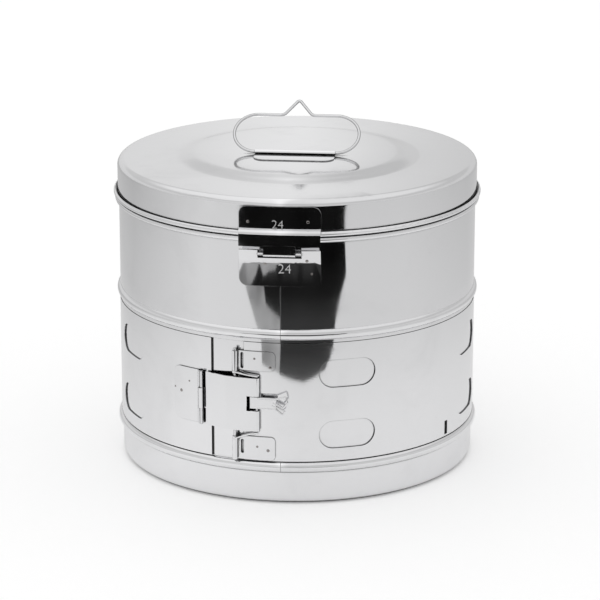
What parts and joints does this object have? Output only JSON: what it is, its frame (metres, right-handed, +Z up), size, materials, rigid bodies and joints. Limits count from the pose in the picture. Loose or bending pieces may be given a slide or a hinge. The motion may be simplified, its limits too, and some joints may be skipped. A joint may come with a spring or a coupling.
{
  "type": "sterilization drum",
  "caption": "Round polished steel drum with hinged lid, wire bail handle, turning shutter band over steam holes and a spring clamp.",
  "frame": {"origin": "centre of the flat face that the drum stands on", "axes": "+Z up along the drum's axis, -Y towards the lid hinge and the clamp, +X to the right seen from there"},
  "size_m": [0.247, 0.2532, 0.2394],
  "materials": {
    "body_sheet": "mirror-polished stainless sheet",
    "pan_sheet": "mirror-polished stainless sheet, pressed",
    "lid_sheet": "mirror-polished stainless sheet, spun",
    "band_sheet": "mirror-polished stainless sheet, punched",
    "fitting_sheet": "polished stainless sheet, bent and spot-welded",
    "steel_wire": "bright drawn stainless wire"
  },
  "bodies": {
    "drum": {"body_shell": "body_sheet", "base_pan": "pan_sheet", "body_hinge_leaf": "fitting_sheet", "lid_hinge_pin": "steel_wire", "catch_bracket": "fitting_sheet"},
    "lid": {"lid_cap": "lid_sheet", "lid_rim_wire": "steel_wire", "lid_hinge_leaf": "fitting_sheet", "handle_clip": "fitting_sheet", "catch_lug": "fitting_sheet"},
    "handle": {"handle_bail": "steel_wire"},
    "shutter": {"shutter_band": "band_sheet", "clamp_fixed_leaf": "fitting_sheet", "clamp_hinge_pin": "steel_wire", "keeper_upper": "fitting_sheet", "keeper_lower": "fitting_sheet", "keeper_rod": "steel_wire"},
    "lever": {"clamp_lever": "fitting_sheet", "clamp_claw": "fitting_sheet", "tongue_pin": "steel_wire"},
    "tongue": {"clamp_tongue": "fitting_sheet"},
    "catch": {"catch_bail": "steel_wire"}
  },
  "joints": [
    {"name": "lid_hinge", "type": "hinge", "parent": "drum", "child": "lid", "pos_m": [0, -0.1232, 0.1705], "axis": [1, 0, 0], "range_deg": [0, 165]},
    {"name": "handle_pivot", "type": "hinge", "parent": "lid", "child": "handle", "pos_m": [0, -0.0153, 0.21085], "axis": [1, 0, 0], "range_deg": [-38, 136]},
    {"name": "shutter_turn", "type": "hinge", "parent": "drum", "child": "shutter", "pos_m": [0, 0, 0.0701], "axis": [0, 0, 1], "range_deg": [0, 27.8]},
    {"name": "lever_hinge", "type": "hinge", "parent": "shutter", "child": "lever", "pos_m": [-0.05237, -0.11129, 0.0691], "axis": [0, 0, -1], "range_deg": [0, 150]},
    {"name": "tongue_hinge", "type": "hinge", "parent": "lever", "child": "tongue", "pos_m": [-0.01483, -0.12256, 0.0706], "axis": [0, 0, -1], "range_deg": [0, 50]},
    {"name": "catch_pivot", "type": "hinge", "parent": "drum", "child": "catch", "pos_m": [0, 0.1243, 0.166], "axis": [1, 0, 0], "range_deg": [0, 180]}
  ]
}
